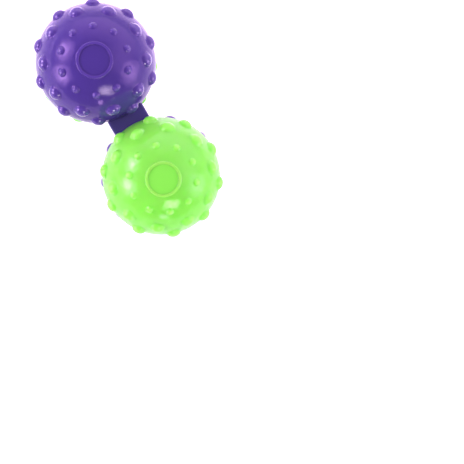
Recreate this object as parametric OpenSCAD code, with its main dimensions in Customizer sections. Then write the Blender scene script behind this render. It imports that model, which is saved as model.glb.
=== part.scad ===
// Twin bumpy sensory ball: two knobbly two-colour balls that spin on the ends of a flat link.
// Each ball is two identical half shells, clamped on a bushed hole in the link by one screw and nut
// that hide under a flat cap at each pole. It lies on the raised rings round its two lower caps.
// Origin: on the resting surface, midway between the balls. +X runs from ball A to ball B, +Z is up.

/* [Balls] */
// Diameter of a ball's round body, without its bumps
ball_d = 40; // [34:0.5:50]
// Clear distance between the round bodies of the two balls
ball_gap = 3.3; // [2.9:0.1:8]
// Wall of a half shell
shell_wall = 2; // [1.6:0.1:2.6]
// Bevel of a half shell's outer rim edge
rim_bevel = 0.3; // [0.1:0.05:0.5]
// Number of ribs inside a half shell
rib_count = 5; // [3:1:8]
// Thickness of a rib inside a half shell
rib_t = 1.2; // [0.8:0.1:2]
// Height of the ribs' lower edge above the shell's rim
rib_lift = 1.5; // [0.5:0.1:4]
// How far ball A is turned on the link, in degrees
ball_a_turn = -2.5; // [-18:0.1:18]
// How far ball B is turned on the link, in degrees
ball_b_turn = 6.9; // [-18:0.1:18]

/* [Bumps] */
// Number of bumps in each ring
bump_count = 10; // [6:1:12]
// Angle from the pole to the ring of small bumps
small_ring_angle = 33.2; // [31:0.2:36]
// Angle from the pole to the middle ring of large bumps
middle_ring_angle = 56; // [53:0.2:57]
// Angle from the pole to the outer ring of large bumps
outer_ring_angle = 72.4; // [71:0.2:76]
// How far the outer and small rings are turned from the hub's key, in degrees
bump_phase = 11.1; // [0:0.1:36]
// Radius of a large bump's round top
large_bump_r = 2.7; // [2.2:0.1:3]
// Height of a large bump above the ball
large_bump_h = 1.45; // [1:0.05:1.6]
// Radius of a small bump's round top
small_bump_r = 1.3; // [0.9:0.05:1.6]
// Height of a small bump above the ball
small_bump_h = 0.75; // [0.5:0.05:0.9]
// Radius of the fillet round a large bump's foot
large_foot_r = 0.6; // [0.4:0.05:0.9]
// Radius of the fillet round a small bump's foot
small_foot_r = 0.5; // [0.3:0.05:0.8]

/* [Pole ring and cap] */
// Inner diameter of the raised ring round a pole, which the cap fills
ring_id = 9.7; // [8.6:0.1:10.2]
// Width of the raised ring
ring_w = 0.95; // [0.8:0.05:2]
// Height of the ring above the ball, at the ring's middle
ring_h = 0.35; // [0.3:0.05:0.9]
// Rounding of the ring's two upper edges
ring_edge_r = 0.25; // [0.1:0.05:0.3]
// Radius of the fillet round the ring's foot
ring_foot_r = 0.25; // [0.15:0.05:0.3]
// Depth of the cap's flat face below the ball's surface at the ring's inner edge
cap_sink = 0.1; // [0:0.05:0.4]
// Thickness of a cap's disc
cap_t = 1.4; // [1:0.1:2]
// Rounding of a cap's edges
cap_edge_r = 0.05; // [0.05:0.05:0.4]
// Length of the plug under a cap
cap_plug_h = 1.3; // [0.8:0.1:2]

/* [Link] */
// Width of the link's neck between the balls
link_w = 13.2; // [10:0.2:18]
// Thickness of the link
link_t = 3.6; // [3:0.1:4.2]
// Depth of the link's round ends below the balls' surface
link_inset = 0.8; // [0.4:0.1:1.4]
// Rounding of the link's outer edges
link_edge_r = 0.7; // [0.3:0.05:1]
// Depth of the cored ring on each face of a link end
core_depth = 0.9; // [0.4:0.1:1.1]
// Width of the solid rim outside the cored ring
core_rim = 3.7; // [2.5:0.1:5]
// Width of the solid ring between a bush's flange and the cored ring
core_hub = 1.8; // [1:0.1:3]

/* [Axle] */
// Diameter of the hubs that turn in the link
journal_d = 8; // [7.4:0.1:9]
// Width of the shoulder where a hub grows to its full size
shoulder_w = 2; // [1.6:0.1:2.4]
// Wall of a flanged bush
bush_wall = 1.15; // [0.8:0.05:1.3]
// Width of a bush's flange beyond its sleeve
flange_w = 1.6; // [1:0.1:2.2]
// Thickness of a bush's flange
flange_t = 0.8; // [0.5:0.1:1]
// Thread diameter of the axle screw
screw_d = 3; // [2.5:0.1:3.2]
// Diameter of the screw's head
head_d = 5.5; // [5:0.1:5.6]
// Height of the screw's head
head_h = 2; // [1.6:0.1:2.4]
// Distance across the nut's flats
nut_af = 5.5; // [5:0.1:5.6]
// Height of the nut
nut_h = 2.4; // [1.8:0.1:2.6]
// Length of thread that stands out of the nut
thread_out = 0.6; // [0.2:0.05:1]
// Width of the key between the two hubs
key_w = 1.6; // [1.2:0.1:2]
// Height of the key between the two hubs
key_h = 1; // [0.6:0.1:1.4]
// Width of hub left standing at each end of the key
key_wall = 0.4; // [0.3:0.05:0.5]

/* [Clearances] */
// Gap between a shell's rim and the link
rim_gap = 0.3; // [0.2:0.05:0.6]
// Gap between a hub's shoulder and a bush's flange
thrust_gap = 0.1; // [0.05:0.05:0.3]
// Radial gap of a hub in its bushes
run_gap = 0.05; // [0.02:0.01:0.1]
// Radial gap of a piece that is pressed in
press_gap = 0.02; // [0.01:0.01:0.04]
// Gap round a piece that drops in loosely
loose_gap = 0.1; // [0.05:0.01:0.15]
// Gap between the axle's ends and the caps' plugs
axle_gap = 0.16; // [0.1:0.02:0.4]

/* [Hidden] */
$fn = 96;
purple = [0.32, 0.20, 0.60];
green = [0.52, 0.95, 0.33];
nylon = [0.93, 0.92, 0.87];
steel = [0.72, 0.73, 0.75];
ball_r = ball_d / 2;
ball_pitch = ball_d + ball_gap;
rim_z = link_t / 2 + rim_gap;
shoulder_z = link_t / 2 + thrust_gap;

// Heights at the pole, from the ball's middle
ring_in_r = ring_id / 2;
ring_out_r = ring_in_r + ring_w;
ring_top_z = surface_z(ring_in_r + ring_w / 2) + ring_h;
cap_face_z = surface_z(ring_in_r) - cap_sink;
cap_seat_z = cap_face_z - cap_t;

// Axle stack. One six-sided pocket fits both the nut and the screw's head
pocket_af = max(nut_af, head_d) + 2 * loose_gap;
pocket_h = max(nut_h + thread_out, head_h) + axle_gap + cap_plug_h;
pocket_seat_z = cap_seat_z - pocket_h;
journal_r = journal_d / 2;
shoulder_r = journal_r + shoulder_w;
bush_bore_r = journal_r + run_gap;
bush_r = bush_bore_r + bush_wall;
flange_r = bush_r + flange_w;
screw_r = screw_d / 2;
screw_hole_r = screw_r + loose_gap;
screw_len = 2 * pocket_seat_z + nut_h + thread_out;

// Link ends
link_end_r = ball_r - link_inset;
core_out_r = link_end_r - core_rim;
core_in_r = flange_r + core_hub;

// The fillet at the foot of a bump or ring bites this deep into what it joins, so that the surfaces cross cleanly
fillet_bite = 0.03;
// A bump's root reaches this deep into the shell's wall
bump_root = shell_wall / 2;

// Height of the round body's surface at a distance from the pole's axis
function surface_z(r) = sqrt(ball_r * ball_r - r * r);
// Point at a distance from one point towards another
function towards(a, b, d) = a + (b - a) * d / norm(b - a);
// Middle of a bump's fillet, which touches both the ball and the bump's round top
function foot_middle(top_r, h, foot_r) =
    let (top_z = ball_r + h - top_r,
         to_ball = ball_r + foot_r - fillet_bite,
         to_top = top_r + foot_r - fillet_bite,
         z = (to_ball * to_ball - to_top * to_top + top_z * top_z) / (2 * top_z))
    [sqrt(to_ball * to_ball - z * z), z];

// Rectangle with its lower corner at the origin and all four corners round
module rounded_rectangle(size, r) {
    translate([r, 0]) square([size.x - 2 * r, size.y]);
    translate([0, r]) square([size.x, size.y - 2 * r]);
    for (x = [r, size.x - r], y = [r, size.y - r])
        translate([x, y]) circle(r);
}

// Half section of one bump, standing out along the ball's radius
module bump_section(top_r, h, foot_r) {
    top = [0, ball_r + h - top_r];
    foot = foot_middle(top_r, h, foot_r);
    top_touch = towards(top, foot, top_r);
    ball_touch = towards([0, 0], foot, ball_r);
    root = [ball_touch.x, ball_r - bump_root];
    intersection() {
        union() {
            translate(top) circle(top_r);
            difference() {
                polygon([[0, root.y], root, ball_touch, top_touch, [0, top_touch.y]]);
                translate(foot) circle(foot_r);
            }
        }
        translate([0, root.y]) square([ball_r, ball_r]);
    }
}

// Ring of equal bumps at an angle from the pole
module bump_ring(angle, turn, top_r, h, foot_r) {
    for (k = [0 : bump_count - 1])
        rotate([0, 0, turn + k * 360 / bump_count])
            rotate([0, angle, 0])
                rotate_extrude() bump_section(top_r, h, foot_r);
}

// The three rings of bumps on a half shell, trimmed at its rim
module bumps() {
    half_step = 180 / bump_count;
    difference() {
        union() {
            bump_ring(small_ring_angle, bump_phase, small_bump_r, small_bump_h, small_foot_r);
            bump_ring(middle_ring_angle, bump_phase + half_step, large_bump_r, large_bump_h, large_foot_r);
            bump_ring(outer_ring_angle, bump_phase, large_bump_r, large_bump_h, large_foot_r);
        }
        translate([0, 0, rim_z - ball_r]) cylinder(r = 2 * ball_r, h = ball_r);
    }
}

// Half section of the solid dome, with its rim edge bevelled
module dome_section() {
    bevel_x = sqrt(ball_r * ball_r - rim_z * rim_z) - rim_bevel;
    intersection() {
        circle(ball_r);
        polygon([[0, rim_z], [bevel_x, rim_z], [bevel_x + ball_r, rim_z + ball_r], [0, rim_z + ball_r]]);
    }
}

// Half section of the raised ring and the fillet round its foot
module pole_ring_section() {
    foot_x = ring_out_r + ring_foot_r - fillet_bite;
    to_foot = ball_r + ring_foot_r - fillet_bite;
    foot = [foot_x, sqrt(to_foot * to_foot - foot_x * foot_x)];
    ball_touch = towards([0, 0], foot, ball_r);
    middle_r = ring_in_r + ring_w / 2;
    translate([ring_in_r, cap_seat_z])
        rounded_rectangle([ring_w, ring_top_z - cap_seat_z], ring_edge_r);
    difference() {
        polygon([[middle_r, foot.y], [ring_out_r, foot.y], ball_touch, [middle_r, ball_touch.y - bump_root]]);
        translate(foot) circle(ring_foot_r);
    }
}

// Half section of a half shell: round wall, pole ring, hub, cap recess and screw hole
module shell_section() {
    difference() {
        union() {
            dome_section();
            pole_ring_section();
            polygon([[0, 0], [journal_r, 0], [journal_r, shoulder_z], [shoulder_r, shoulder_z],
                     [shoulder_r, cap_seat_z], [0, cap_seat_z]]);
        }
        intersection() {
            circle(ball_r - shell_wall);
            translate([shoulder_r, rim_z - shell_wall]) square(ball_r);
        }
        translate([0, -link_t]) square([screw_hole_r, ball_r + link_t]);
        translate([0, cap_seat_z]) square([ring_in_r, ball_r]);
    }
}

// Stiffening ribs from the hub to the round wall
module ribs() {
    for (k = [0 : rib_count - 1])
        rotate([0, 0, k * 360 / rib_count])
            intersection() {
                rotate_extrude()
                    intersection() {
                        circle(ball_r - shell_wall / 2);
                        translate([shoulder_r - shell_wall / 2, rim_z + rib_lift]) square(ball_r);
                    }
                translate([0, -rib_t / 2, 0]) cube([ball_r, rib_t, ball_r]);
            }
}

// Block of the key on a hub's end: a tongue, or with a gap the slot for one
module key_block(gap) {
    inner = screw_hole_r + key_wall - gap;
    outer = journal_r - key_wall + gap;
    width = key_w + 2 * gap;
    translate([inner, -width / 2, -key_h - gap])
        cube([outer - inner, width, 2 * (key_h + gap)]);
}

// One half shell, pole up, with the ball's middle at the origin. All four are the same moulding
module half_shell(colour) {
    color(colour)
        difference() {
            union() {
                rotate_extrude() shell_section();
                ribs();
                bumps();
                key_block(0);
            }
            rotate([0, 0, 180]) key_block(loose_gap);
            translate([0, 0, pocket_seat_z])
                cylinder(d = pocket_af / cos(30), h = ball_r, $fn = 6);
        }
}

// Flat cap that hides the axle, with a plug that grips the pocket's six flats
module pole_cap(colour) {
    cap_r = ring_in_r - press_gap;
    color(colour)
        translate([0, 0, cap_seat_z]) {
            rotate_extrude()
                intersection() {
                    translate([-cap_r, 0]) rounded_rectangle([2 * cap_r, cap_t], cap_edge_r);
                    square([cap_r, cap_t]);
                }
            translate([0, 0, -cap_plug_h])
                cylinder(r = pocket_af / 2 - press_gap, h = cap_plug_h + cap_t / 2);
        }
}

// Slotted cheese-head screw through both hubs
module axle_screw() {
    slot_w = screw_d / 4;
    point_h = screw_r / 2;
    color(steel)
        translate([0, 0, pocket_seat_z])
            difference() {
                union() {
                    cylinder(d = head_d, h = head_h);
                    translate([0, 0, point_h - screw_len]) cylinder(r = screw_r, h = screw_len);
                    translate([0, 0, -screw_len]) cylinder(r1 = screw_r - point_h, r2 = screw_r, h = point_h);
                }
                translate([-head_d, -slot_w / 2, head_h / 2]) cube([2 * head_d, slot_w, head_h]);
            }
}

// Hexagon nut in the lower shell's pocket, its corners turned off at both ends
module axle_nut() {
    corner_r = nut_af / 2 / cos(30);
    bevel = corner_r - nut_af / 2;
    color(steel)
        translate([0, 0, -pocket_seat_z - nut_h])
            difference() {
                intersection() {
                    cylinder(r = corner_r, h = nut_h, $fn = 6);
                    rotate_extrude()
                        polygon([[0, 0], [nut_af / 2, 0], [corner_r + bevel, bevel],
                                 [corner_r + bevel, nut_h - bevel], [nut_af / 2, nut_h], [0, nut_h]]);
                }
                translate([0, 0, -nut_h]) cylinder(r = screw_r + press_gap, h = 3 * nut_h);
            }
}

// Flanged bush pressed into the upper face of a link end
module link_bush() {
    color(nylon)
        rotate_extrude()
            polygon([[bush_bore_r, 0], [bush_r, 0], [bush_r, link_t / 2 - flange_t],
                     [flange_r, link_t / 2 - flange_t], [flange_r, link_t / 2],
                     [bush_bore_r, link_t / 2]]);
}

// Holes and cored rings of one link end
module link_end_cuts() {
    cylinder(r = bush_r + press_gap, h = 2 * link_t, center = true);
    for (side = [0, 180])
        rotate([side, 0, 0]) {
            translate([0, 0, link_t / 2 - flange_t])
                cylinder(r = flange_r + press_gap, h = link_t);
            translate([0, 0, link_t / 2 - core_depth])
                rotate_extrude()
                    translate([core_in_r, 0]) square([core_out_r - core_in_r, link_t]);
        }
}

// Flat dumb-bell link: two round ends inside the balls and the neck between them
module link_plate() {
    color(purple)
        translate([0, 0, ring_top_z])
            difference() {
                union() {
                    for (side = [-1, 1])
                        translate([side * ball_pitch / 2, 0, -link_t / 2])
                            rotate_extrude()
                                intersection() {
                                    translate([-link_end_r, 0])
                                        rounded_rectangle([2 * link_end_r, link_t], link_edge_r);
                                    square([link_end_r, link_t]);
                                }
                    translate([-ball_pitch / 2, 0, 0])
                        rotate([90, 0, 90])
                            linear_extrude(ball_pitch)
                                translate([-link_w / 2, -link_t / 2])
                                    rounded_rectangle([link_w, link_t], link_edge_r);
                }
                for (side = [-1, 1])
                    translate([side * ball_pitch / 2, 0, 0]) link_end_cuts();
            }
}

// Place of a ball's middle: side -1 is ball A and side 1 is ball B
module at_ball(side) {
    turn = side < 0 ? ball_a_turn : ball_b_turn;
    translate([side * ball_pitch / 2, 0, ring_top_z]) rotate([0, 0, turn]) children();
}

// Turns a piece over to the ball's lower half
module flipped() {
    rotate([0, 180, 0]) children();
}

link_plate();
at_ball(-1) link_bush();  // link_bush_a_top
at_ball(-1) flipped() link_bush();  // link_bush_a_bottom
at_ball(1) link_bush();  // link_bush_b_top
at_ball(1) flipped() link_bush();  // link_bush_b_bottom
at_ball(-1) half_shell(purple);  // ball_a_top_shell
at_ball(-1) flipped() half_shell(green);  // ball_a_bottom_shell
at_ball(-1) pole_cap(purple);  // ball_a_top_cap
at_ball(-1) flipped() pole_cap(green);  // ball_a_bottom_cap
at_ball(-1) axle_screw();  // ball_a_screw
at_ball(-1) axle_nut();  // ball_a_nut
at_ball(1) half_shell(green);  // ball_b_top_shell
at_ball(1) flipped() half_shell(purple);  // ball_b_bottom_shell
at_ball(1) pole_cap(green);  // ball_b_top_cap
at_ball(1) flipped() pole_cap(purple);  // ball_b_bottom_cap
at_ball(1) axle_screw();  // ball_b_screw
at_ball(1) axle_nut();  // ball_b_nut
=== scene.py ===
"""Twin sensory ball: bumpy shells, caps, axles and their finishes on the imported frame, in a white studio."""
import logging
import math
from abc import ABC, abstractmethod
from dataclasses import dataclass, field
from enum import Enum
from functools import cached_property
from typing import Any, ClassVar, Mapping, Sequence

import bmesh
import bpy
import numpy as np
from mathutils import Matrix, Vector


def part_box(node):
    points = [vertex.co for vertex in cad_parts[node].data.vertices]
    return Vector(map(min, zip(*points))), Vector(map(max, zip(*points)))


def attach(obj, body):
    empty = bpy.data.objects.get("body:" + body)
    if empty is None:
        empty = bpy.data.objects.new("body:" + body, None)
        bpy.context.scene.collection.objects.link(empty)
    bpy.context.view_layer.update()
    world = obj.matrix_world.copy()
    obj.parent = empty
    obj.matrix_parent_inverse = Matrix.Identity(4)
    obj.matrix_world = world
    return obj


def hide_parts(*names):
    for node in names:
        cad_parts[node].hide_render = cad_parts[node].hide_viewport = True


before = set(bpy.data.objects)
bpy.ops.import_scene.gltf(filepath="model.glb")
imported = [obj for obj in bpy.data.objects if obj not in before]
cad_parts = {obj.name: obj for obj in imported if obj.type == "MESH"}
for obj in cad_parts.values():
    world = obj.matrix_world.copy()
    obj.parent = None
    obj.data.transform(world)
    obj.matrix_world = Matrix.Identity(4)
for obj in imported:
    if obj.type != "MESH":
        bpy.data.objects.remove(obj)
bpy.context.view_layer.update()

MM = 0.001
MERGE = 0.0001 * MM
UP = Vector((0.0, 0.0, 1.0))
RAISED = "raised"
LOG = logging.getLogger("sensory_ball")
Pair = tuple[float, float]
Triple = tuple[float, float, float]
Colour = Triple


class Ball(Enum):
    """The two balls, by the name of the body that each one is."""

    A = "ball_a"
    B = "ball_b"


class Half(Enum):
    """The two halves of a ball."""

    TOP = "top"
    BOTTOM = "bottom"


class Tint(Enum):
    """The two plastics that the halves are moulded in."""

    PURPLE = "purple"
    GREEN = "green"


HALF_TINTS: Mapping[tuple[Ball, Half], Tint] = {
    (Ball.A, Half.TOP): Tint.PURPLE,
    (Ball.A, Half.BOTTOM): Tint.GREEN,
    (Ball.B, Half.TOP): Tint.GREEN,
    (Ball.B, Half.BOTTOM): Tint.PURPLE,
}

# How far each ball is turned on the link, in degrees
BALL_TURNS: Mapping[Ball, float] = {Ball.A: -2.5, Ball.B: 6.9}


class Signal:
    """The value of a socket in a node tree. Arithmetic on it adds Math nodes to the tree."""

    def __init__(self, bench: "NodeBench", socket: bpy.types.NodeSocket) -> None:
        """Wraps one output socket of the bench's tree."""
        self.bench = bench
        self.socket = socket

    def _math(self, operation: str, *terms: Any) -> "Signal":
        """Adds a Math node on the given terms."""
        return self.bench.add("ShaderNodeMath", {"operation": operation}, dict(enumerate(terms)))

    def __add__(self, other: Any) -> "Signal":
        """Sum."""
        return self._math("ADD", self, other)

    def __radd__(self, other: Any) -> "Signal":
        """Sum with a number on the left."""
        return self._math("ADD", other, self)

    def __sub__(self, other: Any) -> "Signal":
        """Difference."""
        return self._math("SUBTRACT", self, other)

    def __rsub__(self, other: Any) -> "Signal":
        """Difference with a number on the left."""
        return self._math("SUBTRACT", other, self)

    def __mul__(self, other: Any) -> "Signal":
        """Product."""
        return self._math("MULTIPLY", self, other)

    def __rmul__(self, other: Any) -> "Signal":
        """Product with a number on the left."""
        return self._math("MULTIPLY", other, self)

    def __truediv__(self, other: Any) -> "Signal":
        """Quotient."""
        return self._math("DIVIDE", self, other)

    def __rtruediv__(self, other: Any) -> "Signal":
        """Quotient with a number on the left."""
        return self._math("DIVIDE", other, self)

    def __lt__(self, other: Any) -> "Signal":
        """1 where this is less than the other, else 0."""
        return self._math("LESS_THAN", self, other)

    def __gt__(self, other: Any) -> "Signal":
        """1 where this is more than the other, else 0."""
        return self._math("GREATER_THAN", self, other)

    def of(self, function: str, *others: Any) -> "Signal":
        """Value of a named function, such as SINE, of this and any further terms."""
        return self._math(function, self, *others)

    def squared(self) -> "Signal":
        """Square."""
        return self._math("MULTIPLY", self, self)

    def root(self) -> "Signal":
        """Square root, taken as 0 below 0."""
        return self.of("MAXIMUM", 0.0).of("SQRT")

    def clamped(self) -> "Signal":
        """This, held between 0 and 1."""
        return self.of("MAXIMUM", 0.0).of("MINIMUM", 1.0)


class NodeBench:
    """Adds nodes to one tree and links them by the signals that they pass on."""

    def __init__(self, tree: bpy.types.NodeTree) -> None:
        """Takes the tree that the nodes go into."""
        self.tree = tree

    @staticmethod
    def _pick(sockets: Sequence[bpy.types.NodeSocket], key: int | str) -> bpy.types.NodeSocket:
        """Finds a socket.

        Args:
            sockets: The sockets to look among.
            key: Its index, or its name among those in use.

        Returns:
            The socket.
        """
        if isinstance(key, int):
            return sockets[key]
        return next(socket for socket in sockets if socket.enabled and socket.name == key)

    def _feed(self, socket: bpy.types.NodeSocket, value: Any) -> None:
        """Links or sets an input socket.

        Args:
            socket: The socket.
            value: A signal or a list of signals to link to it, or the value that it gets.
        """
        if isinstance(value, list):
            for signal in value:
                self.tree.links.new(signal.socket, socket)
        elif isinstance(value, Signal):
            self.tree.links.new(value.socket, socket)
        else:
            socket.default_value = value

    def add(
        self,
        kind: str,
        settings: Mapping[str, Any] | None = None,
        inputs: Mapping[int | str, Any] | None = None,
        output: int | str | None = 0,
    ) -> Signal | None:
        """Adds a node.

        Args:
            kind: The node's type.
            settings: The node's own settings, which are set first.
            inputs: Values or signals of its sockets, by name or index.
            output: The output that the caller goes on with, if any.

        Returns:
            The signal of that output.
        """
        node = self.tree.nodes.new(kind)
        for name, value in (settings or {}).items():
            setattr(node, name, value)
        for key, value in (inputs or {}).items():
            self._feed(self._pick(node.inputs, key), value)
        return None if output is None else Signal(self, self._pick(node.outputs, output))

    def vector(self, operation: str, *terms: Any, output: int | str = "Vector") -> Signal:
        """Adds a Vector Math node on the given terms."""
        return self.add("ShaderNodeVectorMath", {"operation": operation}, dict(enumerate(terms)), output)

    def point(self, x: Any = 0.0, y: Any = 0.0, z: Any = 0.0) -> Signal:
        """Adds a vector of three numbers."""
        return self.add("ShaderNodeCombineXYZ", None, {"X": x, "Y": y, "Z": z})

    def parts(self, vector: Signal) -> tuple[Signal, ...]:
        """Splits a vector into its three numbers."""
        split = self.add("ShaderNodeSeparateXYZ", None, {0: vector})
        return tuple(Signal(self, socket) for socket in split.socket.node.outputs)

    def mix(self, factor: Any, first: "Colour | Signal", second: "Colour | Signal") -> Signal:
        """Adds a mix of two colours.

        Args:
            factor: 0 for the first colour, 1 for the second.
            first: The first colour.
            second: The second colour.

        Returns:
            The mixed colour.
        """
        ends = [end if isinstance(end, Signal) else (*end, 1.0) for end in (first, second)]
        inputs = {"Factor": factor, "A": ends[0], "B": ends[1]}
        return self.add("ShaderNodeMix", {"data_type": "RGBA"}, inputs, "Result")

    def place(self) -> Signal:
        """Adds a point's place on its own object."""
        return self.add("ShaderNodeTexCoord", output="Object")

    def noise(self, place: Signal, size: float, detail: float = 2.0) -> Signal:
        """Adds noise from 0 to 1 whose blotches are about size metres across."""
        return self.add("ShaderNodeTexNoise", None, {"Vector": place, "Scale": 1.0 / size, "Detail": detail})


def shader_bench(owner: bpy.types.ID) -> NodeBench:
    """Empties the shader tree of a material, a lamp or a sky.

    Args:
        owner: What the tree belongs to.

    Returns:
        A bench on the tree.
    """
    owner.use_nodes = True
    owner.node_tree.nodes.clear()
    return NodeBench(owner.node_tree)


@dataclass(frozen=True)
class Finish(ABC):
    """A finish of one Principled shader."""

    name: str

    @abstractmethod
    def sockets(self, bench: NodeBench) -> dict[str, Any]:
        """Values and signals of the shader's sockets."""

    def make(self) -> bpy.types.Material:
        """Makes the material.

        Returns:
            The material.
        """
        material = bpy.data.materials.new(self.name)
        bench = shader_bench(material)
        surface = bench.add("ShaderNodeBsdfPrincipled", None, self.sockets(bench))
        bench.add("ShaderNodeOutputMaterial", None, {"Surface": surface}, None)
        return material


@dataclass(frozen=True)
class MouldedPlastic(Finish):
    """Glossy moulded plastic: faint flow clouds, a skin that isn't quite flat, bumps polished by use, and a
    painted highlight that lightens the colour where bumps and the pole ring stand out.
    """

    colour: Colour
    cloud_colour: Colour
    # Lighter colour for raised points: a painted highlight, the same plastic shown as if lit
    raised_highlight_colour: Colour | None = None
    roughness: float = 0.10
    roughness_drift: float = 0.08
    gloss: float = 0.36
    gloss_tint: Colour = (1.0, 1.0, 1.0)
    polish: float = 0.6
    polish_from: float = 1.2
    polish_full: float = 3.0
    polish_roughness: float = 0.05
    depth: float = 0.0
    depth_reach: Triple = (0.6, 1.0, 0.4)
    depth_size: float = 6.0 * MM
    flow_size: float = 9.0 * MM
    skin_size: float = 0.8 * MM
    skin_height: float = 0.005 * MM
    wave_size: float = 3.5 * MM
    wave_height: float = 0.12 * MM

    def sockets(self, bench: NodeBench) -> dict[str, Any]:
        """Mixes the plastic.

        Args:
            bench: The bench of the material's tree.

        Returns:
            Values and signals of the shader's sockets.
        """
        place = bench.place()
        flow = bench.noise(place, self.flow_size, detail=3.0)
        raised = bench.add("ShaderNodeAttribute", {"attribute_name": RAISED}, output="Fac")
        colour = bench.mix(flow, self.colour, self.cloud_colour)
        # Painted highlight: bumps and the pole ring are painted lighter the more they stand out from the wall
        if self.raised_highlight_colour:
            colour = bench.mix(raised.of("MINIMUM", 1.0), colour, self.raised_highlight_colour)
        worn = (raised - self.polish_from) / (self.polish_full - self.polish_from)
        skin = bench.noise(place, self.skin_size)
        wave = bench.noise(place, self.wave_size, detail=1.0)
        height = skin + self.wave_height / self.skin_height * wave
        return {
            "Base Color": colour,
            "Roughness": self.roughness + self.roughness_drift * (flow - 0.5),
            "Normal": bench.add("ShaderNodeBump", None, {"Height": height, "Distance": self.skin_height}),
            "Subsurface Weight": self.depth,
            "Subsurface Radius": self.depth_reach,
            "Subsurface Scale": self.depth_size,
            "Specular IOR Level": self.gloss,
            "Specular Tint": (*self.gloss_tint, 1.0),
            "Coat Weight": self.polish * worn.clamped(),
            "Coat Roughness": self.polish_roughness,
        }


@dataclass(frozen=True)
class NaturalNylon(Finish):
    """Milky uncoloured nylon of the bushes."""

    name: str = "natural_nylon"
    colour: Colour = (0.86, 0.84, 0.77)
    warm_colour: Colour = (0.80, 0.78, 0.70)
    cloud_size: float = 3.0 * MM
    roughness: float = 0.42
    roughness_drift: float = 0.1
    depth: float = 0.3
    depth_size: float = 1.0 * MM

    def sockets(self, bench: NodeBench) -> dict[str, Any]:
        """Clouds the nylon.

        Args:
            bench: The bench of the material's tree.

        Returns:
            Values and signals of the shader's sockets.
        """
        cloud = bench.noise(bench.place(), self.cloud_size, detail=3.0)
        return {
            "Base Color": bench.mix(cloud, self.colour, self.warm_colour),
            "Roughness": self.roughness + self.roughness_drift * cloud,
            "Subsurface Weight": self.depth,
            "Subsurface Scale": self.depth_size,
        }


@dataclass(frozen=True)
class PlatedSteel(Finish):
    """Bright zinc-plated steel with faint marks from turning."""

    name: str = "zinc_plated_steel"
    colour: Colour = (0.66, 0.67, 0.69)
    dull_colour: Colour = (0.52, 0.53, 0.56)
    mark_size: float = 0.5 * MM
    roughness: float = 0.24
    roughness_drift: float = 0.16

    def sockets(self, bench: NodeBench) -> dict[str, Any]:
        """Marks the steel.

        Args:
            bench: The bench of the material's tree.

        Returns:
            Values and signals of the shader's sockets.
        """
        mark = bench.noise(bench.place(), self.mark_size, detail=4.0)
        return {
            "Base Color": bench.mix(mark, self.colour, self.dull_colour),
            "Metallic": 1.0,
            "Roughness": self.roughness + self.roughness_drift * mark,
        }


@dataclass(frozen=True)
class StudioPaper(Finish):
    """Pale matt paper of the floor, with a painted glow near the toy that is bright on one side and dim on the
    other, and again far off.
    """

    bright_side: Vector
    colour: Colour = (0.85, 0.86, 0.86)
    fibre_colour: Colour = (0.82, 0.83, 0.83)
    fibre_size: float = 2.0 * MM
    roughness: float = 0.9
    gloss: float = 0.1
    glow_colour: Colour = (1.65, 1.06, 1.80)
    dim_colour: Colour = (0.62, 0.52, 0.64)
    middle_glow: float = 0.3
    glow_reach: float = 60.0 * MM
    near_reach: float = 80.0 * MM
    near_shift: float = 30.0 * MM
    far_glow: Colour = (0.38, 0.46, 0.34)
    far_from: float = 350.0 * MM
    far_full: float = 900.0 * MM

    def sockets(self, bench: NodeBench) -> dict[str, Any]:
        """Paints a glow on the paper near the toy and far off.

        Args:
            bench: The bench of the material's tree.

        Returns:
            Values and signals of the shader's sockets.
        """
        place = bench.place()
        fibre = bench.noise(place, self.fibre_size, detail=3.0)
        # Painted light and shade on the floor: a glow that fades away from the toy, bright towards the bright
        # side and dim on the other
        side = bench.vector("DOT_PRODUCT", place, self.bright_side, output="Value")
        lit = (self.middle_glow + side / self.glow_reach).clamped()
        away = bench.vector("DISTANCE", place, self.near_shift * self.bright_side, output="Value")
        near = (0.0 - (away / self.near_reach).squared()).of("EXPONENT")
        near_glow = bench.mix(near, (0.0, 0.0, 0.0), bench.mix(lit, self.dim_colour, self.glow_colour))
        past = bench.vector("LENGTH", place, output="Value") - self.far_from
        far = (past / (self.far_full - self.far_from)).clamped()
        return {
            "Base Color": bench.mix(fibre, self.colour, self.fibre_colour),
            "Roughness": self.roughness,
            "Specular IOR Level": self.gloss,
            "Emission Color": bench.mix(far, near_glow, self.far_glow),
            "Emission Strength": 1.0,
        }


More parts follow.
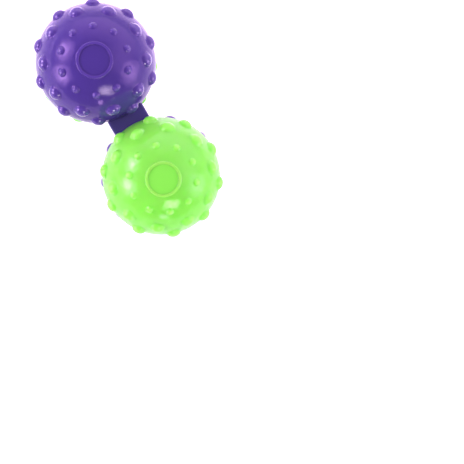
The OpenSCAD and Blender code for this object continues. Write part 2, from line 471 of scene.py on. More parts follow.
@dataclass(frozen=True)
class Finishes:
    """The finishes of all the toy's pieces."""

    shell: Mapping[Tint, bpy.types.Material]
    cap: Mapping[Tint, bpy.types.Material]
    link: bpy.types.Material
    bush: bpy.types.Material
    axle: bpy.types.Material

    @classmethod
    def mixed(cls) -> "Finishes":
        """Mixes the plastics and makes the other finishes.

        Returns:
            The finishes.
        """
        purple = MouldedPlastic(
            "purple_plastic",
            colour=(0.0505, 0.0282, 0.194),
            cloud_colour=(0.0470, 0.0262, 0.184),
            # Painted highlight on the raised bumps and ring
            raised_highlight_colour=(0.067, 0.037, 0.232),
            gloss=0.46,
            gloss_tint=(0.85, 0.57, 1.0),
        ).make()
        green = MouldedPlastic(
            "green_plastic",
            colour=(0.213, 0.775, 0.066),
            cloud_colour=(0.204, 0.756, 0.062),
            # Painted highlight: the raised ring and bumps painted paler, standing in for light through the
            # thin ridges
            raised_highlight_colour=(0.241, 0.820, 0.078),
            polish=0.15,
            depth=0.85,
        ).make()
        cap_green = MouldedPlastic(
            "green_cap_plastic",
            colour=(0.193, 0.712, 0.060),
            cloud_colour=(0.184, 0.693, 0.056),
        ).make()
        # The link is the purple plastic painted lighter: painted light against the shade it lies in between
        # the balls
        link = MouldedPlastic(
            "link_purple_plastic_lightened",
            colour=(0.057, 0.043, 0.210),
            cloud_colour=(0.053, 0.041, 0.199),
        ).make()
        return cls(
            shell={Tint.PURPLE: purple, Tint.GREEN: green},
            cap={Tint.PURPLE: purple, Tint.GREEN: cap_green},
            link=link,
            bush=NaturalNylon().make(),
            axle=PlatedSteel().make(),
        )


class ShapeTree(NodeBench):
    """Geometry Nodes tree with named sizes, which makes a turned mesh into a finished piece of a ball."""

    KINDS: ClassVar[Mapping[type, str]] = {float: "NodeSocketFloat", int: "NodeSocketInt"}
    PLACE: ClassVar[Mapping[str, str]] = {
        "Turn": "NodeSocketFloat",
        "Flip": "NodeSocketFloat",
        "Ball middle": "NodeSocketVector",
        "Finish": "NodeSocketMaterial",
    }

    def __init__(self, name: str, sizes: Mapping[str, float | int]) -> None:
        """Starts a tree with inputs for a mesh, its sizes, its place and its finish.

        Args:
            name: The tree's name.
            sizes: The named sizes, whose values give the kinds of their inputs.
        """
        super().__init__(bpy.data.node_groups.new(name, "GeometryNodeTree"))
        self.tree.is_modifier = True
        interface = self.tree.interface
        interface.new_socket("Geometry", in_out="OUTPUT", socket_type="NodeSocketGeometry")
        interface.new_socket("Geometry", in_out="INPUT", socket_type="NodeSocketGeometry")
        kinds = {label: self.KINDS[type(value)] for label, value in sizes.items()}
        self._keys: dict[str, str] = {}
        for label, kind in {**kinds, **self.PLACE}.items():
            self._keys[label] = interface.new_socket(label, in_out="INPUT", socket_type=kind).identifier
        self._entry = self.tree.nodes.new("NodeGroupInput")

    def size(self, label: str) -> Signal:
        """Signal of a named input."""
        return Signal(self, self._entry.outputs[label])

    def incoming(self) -> Signal:
        """The mesh of the object that the tree runs on."""
        return self.size("Geometry")

    def position(self) -> Signal:
        """Adds a point's own position."""
        return self.add("GeometryNodeInputPosition")

    def length(self, vector: Signal) -> Signal:
        """Adds the length of a vector."""
        return self.vector("LENGTH", vector, output="Value")

    def rotation(self, y: Any, z: Any) -> Signal:
        """Adds a turn round the y axis and then the z axis."""
        return self.add("FunctionNodeEulerToRotation", None, {0: self.point(0.0, y, z)})

    def boolean(self, operation: str, first: Signal, second: Signal) -> Signal:
        """Adds a boolean of two closed meshes.

        Args:
            operation: DIFFERENCE, UNION or INTERSECT.
            first: The first mesh.
            second: The second mesh, which a difference takes away.

        Returns:
            The mesh that it makes.
        """
        settings = {"operation": operation, "solver": "MANIFOLD"}
        inputs = {0: first, 1: second} if operation == "DIFFERENCE" else {1: [first, second]}
        return self.add("GeometryNodeMeshBoolean", settings, inputs, "Mesh")

    def block(self, size: Signal, middle: Signal) -> Signal:
        """Adds a rectangular block of a size about a middle."""
        cube = self.add("GeometryNodeMeshCube", None, {"Size": size}, "Mesh")
        return self.add("GeometryNodeTransform", None, {"Geometry": cube, "Translation": middle})

    def end(self, shape: Signal) -> None:
        """Puts a shape into its place and ends the tree in real meshes with a finish.

        Args:
            shape: The shape about the ball's middle, as it is in an upper half.
        """
        turn = self.rotation(self.size("Flip"), self.size("Turn"))
        place = {"Geometry": shape, "Translation": self.size("Ball middle"), "Rotation": turn}
        placed = self.add("GeometryNodeTransform", None, place)
        real = self.add("GeometryNodeRealizeInstances", None, {"Geometry": placed})
        finish = {"Geometry": real, "Material": self.size("Finish")}
        dressed = self.add("GeometryNodeSetMaterial", None, finish)
        self.add("NodeGroupOutput", None, {"Geometry": dressed}, None)

    def run(self, piece: bpy.types.Object, values: Mapping[str, Any]) -> None:
        """Runs the tree on a piece and keeps the result as the piece's plain mesh.

        Args:
            piece: The object whose mesh goes in and comes out changed.
            values: Values of the named inputs.
        """
        modifier = piece.modifiers.new(self.tree.name, "NODES")
        modifier.node_group = self.tree
        for label, value in values.items():
            modifier[self._keys[label]] = value
        evaluated = piece.evaluated_get(bpy.context.evaluated_depsgraph_get())
        mesh = bpy.data.meshes.new_from_object(evaluated)
        piece.modifiers.clear()
        piece.data = mesh
        mesh.name = piece.name


@dataclass
class Outline:
    """Half section of a turned piece: points of radius and height, which keep the piece on their right."""

    points: list[Pair] = field(default_factory=list)

    def to(self, radius: float, height: float) -> "Outline":
        """Goes straight to a point."""
        self.points.append((radius, height))
        return self

    def arc(self, middle: Pair, radius: float, start: float, end: float, steps: int) -> "Outline":
        """Goes round part of a circle, as bow() does round an ellipse."""
        return self.bow(middle, (radius, radius), start, end, steps)

    def bow(self, middle: Pair, reach: Pair, start: float, end: float, steps: int) -> "Outline":
        """Goes round part of an ellipse.

        Args:
            middle: The ellipse's middle, as radius and height.
            reach: How far it reaches outwards and upwards from there.
            start: The angle where it starts, in radians up from straight outwards.
            end: The angle where it ends.
            steps: The number of straight steps along it.

        Returns:
            The outline itself.
        """
        for step in range(steps + 1):
            angle = start + (end - start) * step / steps
            self.to(middle[0] + reach[0] * math.cos(angle), middle[1] + reach[1] * math.sin(angle))
        return self

    def turned(self, name: str, segments: int) -> bpy.types.Mesh:
        """Turns the outline round the height axis.

        Args:
            name: The mesh's name.
            segments: The number of steps round the axis.

        Returns:
            A closed mesh whose faces point outwards.
        """
        outline = np.array(self.points)
        count = len(outline)
        around = np.arange(segments)[:, None] * (2.0 * math.pi / segments)
        radius = np.broadcast_to(outline[:, 0], (segments, count))
        height = np.broadcast_to(outline[:, 1], (segments, count))
        places = np.stack((radius * np.cos(around), radius * np.sin(around), height), axis=-1)
        here = np.arange(segments)[:, None] * count
        there = np.roll(here, -1, axis=0)
        on_axis = outline[0, 0] == 0.0 and outline[-1, 0] == 0.0
        step = np.arange(count - 1 if on_axis else count)[None, :]
        after = (step + 1) % count
        faces = np.stack((here + step, here + after, there + after, there + step), axis=-1)
        mesh = bpy.data.meshes.new(name)
        mesh.from_pydata(places.reshape(-1, 3).tolist(), [], faces.reshape(-1, 4).tolist())
        work = bmesh.new()
        work.from_mesh(mesh)
        bmesh.ops.remove_doubles(work, verts=work.verts, dist=MERGE)
        work.to_mesh(mesh)
        work.free()
        return mesh


def new_piece(mesh: bpy.types.Mesh) -> bpy.types.Object:
    """Puts a mesh into the scene as an object at the origin.

    Args:
        mesh: The mesh, whose name the object takes.

    Returns:
        The object.
    """
    piece = bpy.data.objects.new(mesh.name, mesh)
    bpy.context.scene.collection.objects.link(piece)
    return piece


def smooth(piece: bpy.types.Object, sharp_from: float = 38.0) -> None:
    """Shades a piece smooth, apart from edges of more than an angle in degrees."""
    piece.data.shade_smooth()
    piece.data.set_sharp_from_angle(angle=math.radians(sharp_from))


def stand_for(piece: bpy.types.Object, body: str, node: str) -> None:
    """Gives the frame a finished piece in place of a CAD node.

    Args:
        piece: The finished object.
        body: The body that it moves with.
        node: The node that it replaces.
    """
    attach(piece, body)
    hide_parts(node)
    LOG.info("%s: %d faces on %s", piece.name, len(piece.data.polygons), body)


def dress(node: str, material: bpy.types.Material) -> None:
    """Gives a CAD node that stays its finish.

    Args:
        node: The node's name.
        material: Its finish.
    """
    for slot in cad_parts[node].material_slots:
        slot.material = material
    LOG.info("%s: kept, %s", node, material.name)


@dataclass(frozen=True)
class Seat:
    """Where a piece of a ball goes: the ball's middle, its turn in degrees, and the half that it is in."""

    middle: Vector
    turn: float
    half: Half = Half.TOP

    @property
    def flip(self) -> float:
        """The angle that takes an upper half to this one."""
        return 0.0 if self.half is Half.TOP else math.pi

    def inputs(self) -> dict[str, Any]:
        """Inputs of a tree that put its piece there."""
        return {"Turn": math.radians(self.turn), "Flip": self.flip, "Ball middle": self.middle}

    def matrix(self) -> Matrix:
        """Matrix that puts a mesh there."""
        turned = Matrix.Rotation(math.radians(self.turn), 4, "Z") @ Matrix.Rotation(self.flip, 4, "Y")
        return Matrix.Translation(self.middle) @ turned


class BallPiece(ABC):
    """A piece of a ball that starts as an outline turned round the ball's axis."""

    segments: int

    @abstractmethod
    def section(self) -> Outline:
        """Half section of the piece."""

    @abstractmethod
    def finish(self, piece: bpy.types.Object, seat: Seat, material: bpy.types.Material) -> None:
        """Gives a turned piece its last shape, its place and its finish."""

    def make(self, name: str, seat: Seat, material: bpy.types.Material) -> bpy.types.Object:
        """Makes one piece.

        Args:
            name: The piece's name.
            seat: Its place.
            material: Its finish.

        Returns:
            The finished piece.
        """
        piece = new_piece(self.section().turned(name, self.segments))
        self.finish(piece, seat, material)
        smooth(piece)
        return piece


class TreePiece(BallPiece):
    """A piece of a ball whose last shape comes from a Geometry Nodes tree."""

    TREE: ClassVar[str]

    @abstractmethod
    def sizes(self) -> dict[str, float | int]:
        """Named sizes of the tree."""

    @abstractmethod
    def shape(self, tree: ShapeTree) -> Signal:
        """Adds the nodes that shape the turned piece."""

    @cached_property
    def tree(self) -> ShapeTree:
        """Builds the tree that all pieces of this shape share.

        Returns:
            The tree.
        """
        tree = ShapeTree(self.TREE, self.sizes())
        tree.end(self.shape(tree))
        return tree

    def finish(self, piece: bpy.types.Object, seat: Seat, material: bpy.types.Material) -> None:
        """Runs the tree on a turned piece."""
        self.tree.run(piece, {**self.sizes(), **seat.inputs(), "Finish": material})


@dataclass(frozen=True)
class BumpShape:
    """One size of bump: a round top on a filleted foot.

    Its fullness flattens the top and steepens the flank.
    """

    top_r: float
    height: float
    foot_r: float
    fullness: float = 0.2

    def sizes(self, kind: str) -> dict[str, float]:
        """Named sizes of this kind of bump."""
        sizes = {"top": self.top_r, "height": self.height, "foot": self.foot_r, "fullness": self.fullness}
        return {f"{kind} {label}": size for label, size in sizes.items()}


@dataclass
class HalfShell(TreePiece):
    """A half shell: round wall with three rings of bumps, a pole ring, a hub and ribs. All four are alike."""

    TREE: ClassVar[str] = "half_shell"

    middle_height: float
    ball_r: float = 20.0 * MM
    wall: float = 2.0 * MM
    wall_slack: float = 0.001 * MM
    rim_z: float = 2.1 * MM
    rim_edge_r: float = 0.3 * MM
    shoulder_z: float = 1.9 * MM
    shoulder_r: float = 6.0 * MM
    journal_r: float = 4.0 * MM
    hole_r: float = 1.6 * MM
    ring_r: float = 4.85 * MM
    ring_w: float = 0.95 * MM
    ring_edge_r: float = 0.25 * MM
    ring_lip: Pair = (0.30 * MM, 0.13 * MM)
    ring_foot_r: float = 0.25 * MM
    cap_seat_z: float = 17.9029 * MM
    pocket_seat_z: float = 13.4429 * MM
    pocket_af: float = 5.7 * MM
    pocket_sides: int = 6
    rib_count: int = 5
    rib_t: float = 1.2 * MM
    rib_lift: float = 1.5 * MM
    rib_round: tuple[int, int] = (96, 64)
    key_w: float = 1.6 * MM
    key_h: float = 1.0 * MM
    key_wall: float = 0.4 * MM
    key_gap: float = 0.1 * MM
    bump_count: int = 10
    bump_phase: float = 11.1
    ring_angles: Triple = (33.2, 56.0, 72.4)
    large: BumpShape = BumpShape(top_r=2.7 * MM, height=1.45 * MM, foot_r=0.6 * MM)
    small: BumpShape = BumpShape(top_r=1.3 * MM, height=0.75 * MM, foot_r=0.5 * MM)
    raised_step: float = 0.3 * MM
    segments: int = 512
    dome_steps: int = 110
    inner_steps: int = 40
    lip_steps: int = 8
    foot_steps: int = 6
    edge_steps: int = 5

    def section(self) -> Outline:
        """Half section of the shell without bumps, ribs, key and nut pocket.

        Returns:
            The outline: up the screw hole, over the pole ring, down the wall, and back inside to the hub.
        """
        top_z = self.middle_height
        ring_out = self.ring_r + self.ring_w
        edge = self.ring_edge_r
        to_foot = self.ball_r + self.ring_foot_r
        foot_r = ring_out + self.ring_foot_r
        foot_up = math.acos(foot_r / to_foot)
        foot = (foot_r, to_foot * math.sin(foot_up))
        to_rim = self.ball_r - self.rim_edge_r
        rim_up = math.asin((self.rim_z + self.rim_edge_r) / to_rim)
        rim = (to_rim * math.cos(rim_up), to_rim * math.sin(rim_up))
        lip = (self.ring_r + self.ring_lip[0], top_z - self.ring_lip[1])
        inner_r = self.ball_r - self.wall
        inner_low = math.asin(self.rim_z / inner_r)
        inner_high = math.acos(self.shoulder_r / inner_r)
        right, level = math.pi / 2.0, math.pi
        outline = Outline().to(self.hole_r, 0.0).to(self.hole_r, self.cap_seat_z)
        outline.to(self.ring_r, self.cap_seat_z)
        outline.bow(lip, self.ring_lip, level, right, self.lip_steps)
        outline.arc((ring_out - edge, top_z - edge), edge, right, 0.0, self.edge_steps)
        outline.arc(foot, self.ring_foot_r, level, level + foot_up, self.foot_steps)
        outline.arc((0.0, 0.0), self.ball_r, foot_up, rim_up, self.dome_steps)
        outline.arc(rim, self.rim_edge_r, rim_up, -right, self.foot_steps)
        outline.arc((0.0, 0.0), inner_r, inner_low, inner_high, self.inner_steps)
        outline.to(self.shoulder_r, self.shoulder_z).to(self.journal_r, self.shoulder_z)
        return outline.to(self.journal_r, 0.0)

    def sizes(self) -> dict[str, float | int]:
        """Named sizes of the shell's tree.

        Returns:
            The sizes, in metres and radians.
        """
        key_in = self.hole_r + self.key_wall
        key_out = self.journal_r - self.key_wall
        small_ring, middle_ring, outer_ring = (math.radians(angle) for angle in self.ring_angles)
        return {
            "Ball radius": self.ball_r,
            "Bump count": self.bump_count,
            "Bump phase": math.radians(self.bump_phase),
            "Small ring angle": small_ring,
            "Middle ring angle": middle_ring,
            "Outer ring angle": outer_ring,
            **self.large.sizes("Large"),
            **self.small.sizes("Small"),
            "Rib count": self.rib_count,
            "Rib thickness": self.rib_t,
            "Rib bottom": self.rim_z + self.rib_lift,
            "Rib inner": self.shoulder_r - self.wall / 2.0,
            "Rib reach": self.ball_r - self.wall / 2.0,
            "Pocket radius": self.pocket_af / 2.0 / math.cos(math.pi / self.pocket_sides),
            "Pocket seat": self.pocket_seat_z,
            "Key middle": (key_in + key_out) / 2.0,
            "Key length": key_out - key_in,
            "Key width": self.key_w,
            "Key height": self.key_h,
            "Key gap": self.key_gap,
        }

    def shape(self, tree: ShapeTree) -> Signal:
        """Raises the bumps, joins the ribs and key, and cuts the key's slot and the nut pocket.

        Args:
            tree: The shell's tree.

        Returns:
            The shell about the ball's middle.
        """
        shell = self._raise_bumps(tree)
        shell = tree.boolean("UNION", shell, self._ribs(tree))
        shell = tree.boolean("UNION", shell, self._key(tree, tree.size("Key middle"), 0.0))
        slot = self._key(tree, 0.0 - tree.size("Key middle"), tree.size("Key gap"))
        shell = tree.boolean("DIFFERENCE", shell, slot)
        return self._mark_raised(tree, tree.boolean("DIFFERENCE", shell, self._pocket(tree)))

    def _bump_seats(self, tree: ShapeTree) -> tuple[Signal, Signal]:
        """Adds one point for each bump, on a ball of radius 1.

        Args:
            tree: The shell's tree.

        Returns:
            The points, and for each one 1 if its bump is large and 0 if it is small.
        """
        count = tree.size("Bump count")
        index = tree.add("GeometryNodeInputIndex")
        ring = (index / count).of("FLOOR")
        past_small, past_middle = ring > 0.5, ring > 1.5
        small, middle, outer = (tree.size(f"{name} ring angle") for name in ("Small", "Middle", "Outer"))
        polar = small + past_small * (middle - small) + past_middle * (outer - middle)
        step = 2.0 * math.pi / count
        # The middle ring stands half a step round from the other two
        half_step = 0.5 * step * (past_small - past_middle)
        azimuth = tree.size("Bump phase") + step * (index - ring * count) + half_step
        across = polar.of("SINE")
        seat = tree.point(across * azimuth.of("COSINE"), across * azimuth.of("SINE"), polar.of("COSINE"))
        inputs = {"Count": float(len(self.ring_angles)) * count, "Position": seat}
        return tree.add("GeometryNodePoints", None, inputs), past_small

    def _raise_bumps(self, tree: ShapeTree) -> Signal:
        """Moves the points of the round wall out to the bump that they lie on.

        Args:
            tree: The shell's tree.

        Returns:
            The shell with its bumps.
        """
        ball = tree.size("Ball radius")
        seats, is_large = self._bump_seats(tree)
        position = tree.position()
        way = tree.vector("NORMALIZE", position)
        nearest = tree.add("GeometryNodeSampleNearest", None, {"Geometry": seats, "Sample Position": way})

        def at_seat(kind: str, value: Signal) -> Signal:
            """A value of the nearest bump's seat."""
            inputs = {"Geometry": seats, "Index": nearest, "Value": value}
            return tree.add("GeometryNodeSampleIndex", {"data_type": kind}, inputs, "Value")

        large = at_seat("FLOAT", is_large)
        chord = tree.vector("DISTANCE", way, at_seat("FLOAT_VECTOR", position), output="Value")
        angle = 2.0 * (0.5 * chord).of("ARCSINE")

        def by_size(label: str) -> Signal:
            """The size of the nearest bump's own kind."""
            little = tree.size(f"Small {label}")
            return little + large * (tree.size(f"Large {label}") - little)

        # In a section through a bump's axis, its top and its fillet are arcs that meet at edge_angle
        top, height, foot = by_size("top"), by_size("height"), by_size("foot")
        top_z = ball + height - top
        to_foot = ball + foot
        reach = top + foot
        foot_z = (to_foot.squared() - reach.squared() + top_z.squared()) / (2.0 * top_z)
        foot_x = (to_foot.squared() - foot_z.squared()).root()
        foot_angle = foot_x.of("ARCTAN2", foot_z)
        part = top / reach
        edge_angle = (foot_x * part).of("ARCTAN2", top_z + (foot_z - top_z) * part)
        dome = top_z * angle.of("COSINE") + (top.squared() - (top_z * angle.of("SINE")).squared()).root()
        away = foot_angle - angle
        hollow = (foot.squared() - (to_foot * away.of("SINE")).squared()).root()
        fillet = to_foot * away.of("COSINE") - hollow
        on_dome = angle < edge_angle
        on_fillet = (angle < foot_angle) - on_dome
        plain_rise = on_dome * (dome - ball) + on_fillet * (fillet - ball)
        rise = plain_rise * (1.0 + by_size("fullness") * (1.0 - plain_rise / height))
        on_wall = tree.length(position) > ball - self.wall_slack
        offset = tree.add("ShaderNodeVectorMath", {"operation": "SCALE"}, {0: way, "Scale": rise})
        inputs = {"Geometry": tree.incoming(), "Selection": on_wall, "Offset": offset}
        return tree.add("GeometryNodeSetPosition", None, inputs)

    def _mark_raised(self, tree: ShapeTree, shape: Signal) -> Signal:
        """Marks the points that stand out from the round wall, for the finish.

        Args:
            tree: The shell's tree.
            shape: The shell about its own middle.

        Returns:
            The shell with the mark: 0 on the wall, and 1 for each step that a point stands out from it.
        """
        distance = tree.length(tree.position())
        mark = ((distance - tree.size("Ball radius")) / self.raised_step).of("MAXIMUM", 0.0)
        settings = {"data_type": "FLOAT", "domain": "POINT"}
        inputs = {"Geometry": shape, "Name": RAISED, "Value": mark}
        return tree.add("GeometryNodeStoreNamedAttribute", settings, inputs)

    def _ribs(self, tree: ShapeTree) -> Signal:
        """Adds the ribs from the hub to the round wall.

        Args:
            tree: The shell's tree.

        Returns:
            The ribs as real meshes.
        """
        inner, reach, bottom = tree.size("Rib inner"), tree.size("Rib reach"), tree.size("Rib bottom")
        size = tree.point(reach - inner, tree.size("Rib thickness"), reach - bottom)
        block = tree.block(size, tree.point(0.5 * (reach + inner), 0.0, 0.5 * (reach + bottom)))
        segments, rings = self.rib_round
        inputs = {"Segments": segments, "Rings": rings, "Radius": reach}
        rib = tree.boolean("INTERSECT", block, tree.add("GeometryNodeMeshUVSphere", None, inputs, "Mesh"))
        count = tree.size("Rib count")
        seats = tree.add("GeometryNodePoints", None, {"Count": count, "Position": (0.0, 0.0, 0.0)})
        turn = tree.rotation(0.0, 2.0 * math.pi * tree.add("GeometryNodeInputIndex") / count)
        inputs = {"Points": seats, "Instance": rib, "Rotation": turn}
        ribs = tree.add("GeometryNodeInstanceOnPoints", None, inputs)
        return tree.add("GeometryNodeRealizeInstances", None, {"Geometry": ribs})

    def _key(self, tree: ShapeTree, middle: Signal, gap: Any) -> Signal:
        """Adds the block of the key on the hub's end: a tongue, or with a gap the slot for one.

        Args:
            tree: The shell's tree.
            middle: Its distance from the axis.
            gap: How far it is wider than the tongue.

        Returns:
            The block.
        """
        grow = 2.0 * gap
        length, width, height = (tree.size(f"Key {name}") for name in ("length", "width", "height"))
        return tree.block(tree.point(length + grow, width + grow, 2.0 * height + grow), tree.point(middle))

    def _pocket(self, tree: ShapeTree) -> Signal:
        """Adds the six-sided pocket for the nut or the screw's head.

        Args:
            tree: The shell's tree.

        Returns:
            The prism that it is cut with.
        """
        ball = tree.size("Ball radius")
        inputs = {"Vertices": self.pocket_sides, "Radius": tree.size("Pocket radius"), "Depth": ball}
        prism = tree.add("GeometryNodeMeshCylinder", None, inputs, "Mesh")
        middle = tree.point(0.0, 0.0, tree.size("Pocket seat") + 0.5 * ball)
        return tree.add("GeometryNodeTransform", None, {"Geometry": prism, "Translation": middle})


@dataclass
class PoleCap(BallPiece):
    """Flat disc with a short plug, which fills the ring at a pole."""

    radius: float
    face_z: float
    plug_end_z: float
    disc_t: float = 1.4 * MM
    edge_r: float = 0.01 * MM
    plug_r: float = 2.83 * MM
    plug_bevel: float = 0.25 * MM
    segments: int = 192
    edge_steps: int = 5

    def section(self) -> Outline:
        """Half section of the cap.

        Returns:
            The outline, out over the disc's face and down to the plug's end.
        """
        seat_z = self.face_z - self.disc_t
        edge, bevel = self.edge_r, self.plug_bevel
        right = math.pi / 2.0
        outline = Outline().to(0.0, self.face_z)
        outline.arc((self.radius - edge, self.face_z - edge), edge, right, 0.0, self.edge_steps)
        outline.arc((self.radius - edge, seat_z + edge), edge, 0.0, -right, self.edge_steps)
        outline.to(self.plug_r, seat_z).to(self.plug_r, self.plug_end_z + bevel)
        return outline.to(self.plug_r - bevel, self.plug_end_z).to(0.0, self.plug_end_z)

    def finish(self, piece: bpy.types.Object, seat: Seat, material: bpy.types.Material) -> None:
        """Puts a turned cap into its place and gives it its finish."""
        piece.data.transform(seat.matrix())
        piece.data.materials.append(material)


@dataclass
class AxleScrew(TreePiece):
    """Slotted cheese-head screw down a ball's axis, with a thread at its lower end for the nut."""

    TREE: ClassVar[str] = "axle_screw"

    seat_z: float
    radius: float = 1.5 * MM
    beyond_seat: float = 3.0 * MM
    head_r: float = 2.75 * MM
    head_h: float = 2.0 * MM
    head_edge_r: float = 0.3 * MM
    slot_l: float = 8.25 * MM
    slot_w: float = 0.75 * MM
    slot_depth: float = 1.0 * MM
    point_h: float = 0.75 * MM
    thread_length: float = 9.0 * MM
    thread_pitch: float = 0.5 * MM
    thread_depth: float = 0.27 * MM
    thread_flat: float = 0.25
    thread_fade: float = 0.8 * MM
    rows_per_turn: int = 12
    segments: int = 48
    edge_steps: int = 5

    @property
    def tip_z(self) -> float:
        """Height of the screw's lower end above the ball's middle."""
        return -self.seat_z - self.beyond_seat

    @property
    def top_z(self) -> float:
        """Height of the head's face above the ball's middle."""
        return self.seat_z + self.head_h

    def section(self) -> Outline:
        """Half section of the screw without its thread and slot.

        Returns:
            The outline, out over the head and down to the point, in close rows where the thread goes.
        """
        rows = round(self.thread_length / self.thread_pitch * self.rows_per_turn)
        edge = self.head_edge_r
        outline = Outline().to(0.0, self.top_z)
        outline.arc((self.head_r - edge, self.top_z - edge), edge, math.pi / 2.0, 0.0, self.edge_steps)
        outline.to(self.head_r, self.seat_z).to(self.radius, self.seat_z)
        for row in range(rows, -1, -1):
            above_tip = self.thread_length * row / rows
            outline.to(self.radius - max(0.0, self.point_h - above_tip), self.tip_z + above_tip)
        return outline.to(0.0, self.tip_z)

    def sizes(self) -> dict[str, float | int]:
        """Named sizes of the screw's tree.

        Returns:
            The sizes, in metres, and the flat as a share of half a pitch.
        """
        return {
            "Radius": self.radius,
            "Thread top": self.tip_z + self.thread_length,
            "Thread pitch": self.thread_pitch,
            "Thread depth": self.thread_depth,
            "Thread flat": self.thread_flat,
            "Thread fade": self.thread_fade,
            "Slot length": self.slot_l,
            "Slot width": self.slot_w,
            "Slot depth": self.slot_depth,
            "Head top": self.top_z,
        }

    def shape(self, tree: ShapeTree) -> Signal:
        """Cuts the thread and the slot.

        Args:
            tree: The screw's tree.

        Returns:
            The screw about the ball's middle.
        """
        length, width, depth = (tree.size(f"Slot {name}") for name in ("length", "width", "depth"))
        slot = tree.block(tree.point(length, width, 2.0 * depth), tree.point(0.0, 0.0, tree.size("Head top")))
        return tree.boolean("DIFFERENCE", self._cut_thread(tree), slot)

    def _cut_thread(self, tree: ShapeTree) -> Signal:
        """Moves the points of the lower shank in to the groove that winds round it.

        Args:
            tree: The screw's tree.

        Returns:
            The screw with its thread.
        """
        x, y, z = tree.parts(tree.position())
        from_axis = (x.squared() + y.squared()).root()
        turns = z / tree.size("Thread pitch") - y.of("ARCTAN2", x) / (2.0 * math.pi)
        flank = (2.0 * turns.of("FRACT") - 1.0).of("ABSOLUTE")
        flat = tree.size("Thread flat")
        groove = ((flank - flat) / (1.0 - 2.0 * flat)).clamped()
        below_top = tree.size("Thread top") - z
        fade = (below_top / tree.size("Thread fade")).clamped()
        reach = from_axis.of("MINIMUM", tree.size("Radius") - tree.size("Thread depth") * groove * fade)
        shrink = reach / from_axis
        inputs = {
            "Geometry": tree.incoming(),
            "Selection": below_top > 0.0,
            "Position": tree.point(x * shrink, y * shrink, z),
        }
        return tree.add("GeometryNodeSetPosition", None, inputs)


@dataclass
class BallShapes:
    """The shapes that both balls are made of."""

    shell: HalfShell
    cap: PoleCap
    screw: AxleScrew

    @classmethod
    def fitted(cls, middle_z: float) -> "BallShapes":
        """Fits the shapes to the frame.

        Args:
            middle_z: The height of the balls' middles above the floor.

        Returns:
            The shapes.
        """
        low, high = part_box("ball_a_top_cap")
        shell = HalfShell(middle_height=middle_z)
        cap = PoleCap(radius=shell.ring_r, face_z=high.z - middle_z, plug_end_z=low.z - middle_z)
        return cls(shell, cap, AxleScrew(seat_z=shell.pocket_seat_z))


@dataclass
class SpinningBall:
    """One ball: two half shells and two caps, round a screw and a nut."""

    ball: Ball
    middle: Vector
    turn: float

    def build(self, shapes: BallShapes, finishes: Finishes) -> None:
        """Builds and dresses the ball's pieces.

        Args:
            shapes: The shapes of its pieces.
            finishes: Their finishes.
        """
        body = self.ball.value
        for half in Half:
            seat = Seat(self.middle, self.turn, half)
            tint = HALF_TINTS[self.ball, half]
            stem = f"{body}_{half.value}"
            moulding = shapes.shell.make(f"{stem}_shell_moulding", seat, finishes.shell[tint])
            stand_for(moulding, body, f"{stem}_shell")
            disc = shapes.cap.make(f"{stem}_cap_disc", seat, finishes.cap[tint])
            stand_for(disc, body, f"{stem}_cap")
        axle = shapes.screw.make(f"{body}_screw_axle", Seat(self.middle, self.turn), finishes.axle)
        stand_for(axle, body, f"{body}_screw")
        dress(f"{body}_nut", finishes.axle)


@dataclass
class Link:
    """Flat dumb-bell link with its four pressed-in bushes."""

    plate: str = "link_plate"
    bushes: tuple[str, ...] = (
        "link_bush_a_top",
        "link_bush_a_bottom",
        "link_bush_b_top",
        "link_bush_b_bottom",
    )

    def build(self, finishes: Finishes) -> None:
        """Dresses the plate and its bushes.

        Args:
            finishes: The toy's finishes.
        """
        dress(self.plate, finishes.link)
        for bush in self.bushes:
            dress(bush, finishes.bush)


@dataclass
class PhotoView:
    """The camera, placed by where the link's middle lies in the picture and how the object is turned."""

    middle: Vector
    image_px: float = 464.0
    focal_px: float = 1040.0
    middle_px: Pair = (129.0, 120.05)
    depth: float = 349.5 * MM
    link_slant: float = 60.23
    pole_right: float = 0.1016
    pole_down: float = 0.1095
    sensor: float = 36.0
    clip_start: float = 10.0 * MM

    def axes(self) -> Matrix:
        """Finds how the camera is turned.

        Returns:
            The picture's right, up and towards-the-viewer directions, as the rows of a 3 by 3 matrix.
        """
        pole_near = math.sqrt(1.0 - self.pole_right**2 - self.pole_down**2)
        pole = Vector((self.pole_right, -self.pole_down, pole_near))
        slant = math.radians(self.link_slant)
        along = Vector((math.cos(slant), -math.sin(slant), 0.0))
        along.z = -(along.x * pole.x + along.y * pole.y) / pole.z
        along.normalize()
        return Matrix((along, pole.cross(along), pole)).transposed()

    def build(self) -> Vector:
        """Puts the camera into the scene.

        Returns:
            The picture's rightward direction, laid flat on the floor.
        """
        axes = self.axes()
        half = self.image_px / 2.0
        aside = (self.middle_px[0] - half) / self.focal_px * self.depth
        below = (self.middle_px[1] - half) / self.focal_px * self.depth
        seen = Vector((aside, -below, -self.depth))
        data = bpy.data.cameras.new("photo_view")
        data.sensor_width = self.sensor
        data.lens = self.focal_px / self.image_px * self.sensor
        data.clip_start = self.clip_start
        camera = bpy.data.objects.new("photo_view", data)
        turn = axes.transposed()
        camera.matrix_world = Matrix.Translation(self.middle - turn @ seen) @ turn.to_4x4()
        bpy.context.scene.collection.objects.link(camera)
        bpy.context.scene.camera = camera
        return Vector((axes[0].x, axes[0].y, 0.0)).normalized()


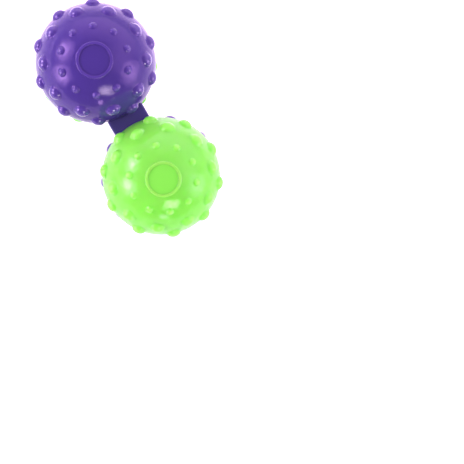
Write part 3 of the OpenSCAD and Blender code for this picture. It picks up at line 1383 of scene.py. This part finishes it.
@dataclass(frozen=True)
class SoftBox:
    """A soft lamp, brightest in the middle, by how far right, up the picture and above the floor it stands.

    Seen from the toy, it is wide and tall by these angles in degrees.
    """

    name: str
    direction: Triple
    wide: float
    tall: float
    radiance: float
    core: float = 0.0
    core_size: float = 0.3
    softness: float = 2.0
    roll: float = 0.0
    tint: Colour = (1.0, 0.78, 1.13)
    distance: float = 0.7

    def build(self, middle: Vector, right: Vector) -> None:
        """Puts the lamp into the scene.

        Args:
            middle: The point that it faces.
            right: The picture's rightward direction, flat on the floor.
        """
        aside, back, above = self.direction
        away = (aside * right + back * UP.cross(right) + above * UP).normalized()
        side = UP.cross(away).normalized()
        facing = Matrix((side, away.cross(side), away)).transposed()
        turn = facing @ Matrix.Rotation(math.radians(self.roll), 3, "Z")
        data = bpy.data.lights.new(self.name, "AREA")
        data.shape = "RECTANGLE"
        data.size = 2.0 * self.distance * math.tan(math.radians(self.wide) / 2.0)
        data.size_y = 2.0 * self.distance * math.tan(math.radians(self.tall) / 2.0)
        data.energy = self.radiance * math.pi * data.size * data.size_y
        data.color = self.tint
        self._soften(data)
        lamp = bpy.data.objects.new(self.name, data)
        lamp.matrix_world = Matrix.Translation(middle + self.distance * away) @ turn.to_4x4()
        lamp.visible_camera = False
        bpy.context.scene.collection.objects.link(lamp)

    def _soften(self, data: bpy.types.AreaLight) -> None:
        """Lets the lamp fade to its edges and glow more at its core.

        Args:
            data: The lamp's own settings.
        """
        bench = shader_bench(data)
        x, y, _ = bench.parts(bench.add("ShaderNodeNewGeometry", output="Parametric"))
        across = (2.0 * x - 1.0).squared()
        along = (2.0 * y - 1.0).squared()
        edge = ((1.0 - across) * (1.0 - along)).of("MAXIMUM", 0.0).of("POWER", self.softness)
        core = (0.0 - (across + along) / self.core_size**2).of("EXPONENT")
        glow = bench.add("ShaderNodeEmission", None, {"Strength": edge + self.core * core})
        bench.add("ShaderNodeOutputLight", None, {"Surface": glow}, None)


@dataclass
class Studio:
    """White floor, a sky that is bright at the horizon, and soft lamps round the toy."""

    middle: Vector
    floor_size: float = 8.0
    floor_side: float = 0.15
    horizon: float = 0.85
    zenith: float = 0.5
    sky_tint: Colour = (1.0, 0.85, 1.08)
    sky_side: Pair = (0.05, 0.5)
    lamps: tuple[SoftBox, ...] = (
        SoftBox("left_upper_softbox", (-0.836, 0.331, 0.438), wide=42.0, tall=40.0, radiance=9.0, core=0.7),
        SoftBox("left_lower_softbox", (-0.90, -0.27, 0.34), wide=42.0, tall=46.0, radiance=9.0, core=0.7),
        SoftBox("right_softbox", (0.913, -0.25, 0.296), wide=48.0, tall=54.0, radiance=5.2),
        SoftBox("right_upper_softbox", (0.74, 0.12, 0.66), wide=60.0, tall=56.0, radiance=1.1, softness=1.0),
        SoftBox("back_softbox", (0.30, 0.93, 0.22), wide=130.0, tall=80.0, radiance=1.4),
        SoftBox(
            "front_lamp",
            (0.27, -0.80, 0.535),
            wide=27.0,
            tall=21.0,
            radiance=11.0,
            softness=0.6,
            roll=-22.0,
            tint=(1.0, 1.12, 0.86),
        ),
        SoftBox("front_low_lamp", (0.077, -0.987, 0.143), wide=9.0, tall=13.0, radiance=8.0, softness=0.8),
    )

    def build(self, right: Vector) -> None:
        """Builds the studio.

        Args:
            right: The picture's rightward direction, flat on the floor.
        """
        half = self.floor_size / 2.0
        corners = [(-half, -half, 0.0), (half, -half, 0.0), (half, half, 0.0), (-half, half, 0.0)]
        mesh = bpy.data.meshes.new("studio_floor")
        mesh.from_pydata(corners, [], [(0, 1, 2, 3)])
        bright_side = (UP.cross(right) + self.floor_side * right).normalized()
        mesh.materials.append(StudioPaper("studio_paper", bright_side).make())
        new_piece(mesh)
        self._sky(right)
        for lamp in self.lamps:
            lamp.build(self.middle, right)
        bpy.context.scene.view_settings.view_transform = "Standard"

    def _sky(self, right: Vector) -> None:
        """Lights the scene by a sky that darkens upwards and towards one side.

        Args:
            right: The picture's rightward direction, flat on the floor.
        """
        world = bpy.data.worlds.new("studio_sky")
        bench = shader_bench(world)
        way = bench.add("ShaderNodeTexCoord", output="Generated")
        _, _, up = bench.parts(way)
        aside, back = self.sky_side
        side = bench.vector("DOT_PRODUCT", way, aside * right + back * UP.cross(right), output="Value")
        fade = up.of("MAXIMUM", 0.0) * (self.zenith - self.horizon)
        inputs = {"Color": (*self.sky_tint, 1.0), "Strength": (self.horizon + fade) * (1.0 + side)}
        glow = bench.add("ShaderNodeBackground", None, inputs)
        bench.add("ShaderNodeOutputWorld", None, {"Surface": glow}, None)
        bpy.context.scene.world = world


def ball_middle(ball: Ball) -> Vector:
    """Finds the middle of a ball, on the axis that it spins about.

    Args:
        ball: The ball.

    Returns:
        The point, in metres.
    """
    base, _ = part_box(f"{ball.value}_bottom_shell")
    _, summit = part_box(f"{ball.value}_top_shell")
    low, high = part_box(f"{ball.value}_top_cap")
    return Vector(((low.x + high.x) / 2.0, (low.y + high.y) / 2.0, (base.z + summit.z) / 2.0))


def main() -> None:
    """Builds the toy and its studio, piece by piece."""
    logging.basicConfig(level=logging.INFO, format="%(message)s")
    finishes = Finishes.mixed()
    middles = {ball: ball_middle(ball) for ball in Ball}
    shapes = BallShapes.fitted(middles[Ball.A].z)
    for ball, middle in middles.items():
        SpinningBall(ball, middle, BALL_TURNS[ball]).build(shapes, finishes)
    Link().build(finishes)

    toy_middle = (middles[Ball.A] + middles[Ball.B]) / 2.0
    right = PhotoView(toy_middle).build()
    Studio(toy_middle).build(right)


if __name__ == "__main__":
    main()
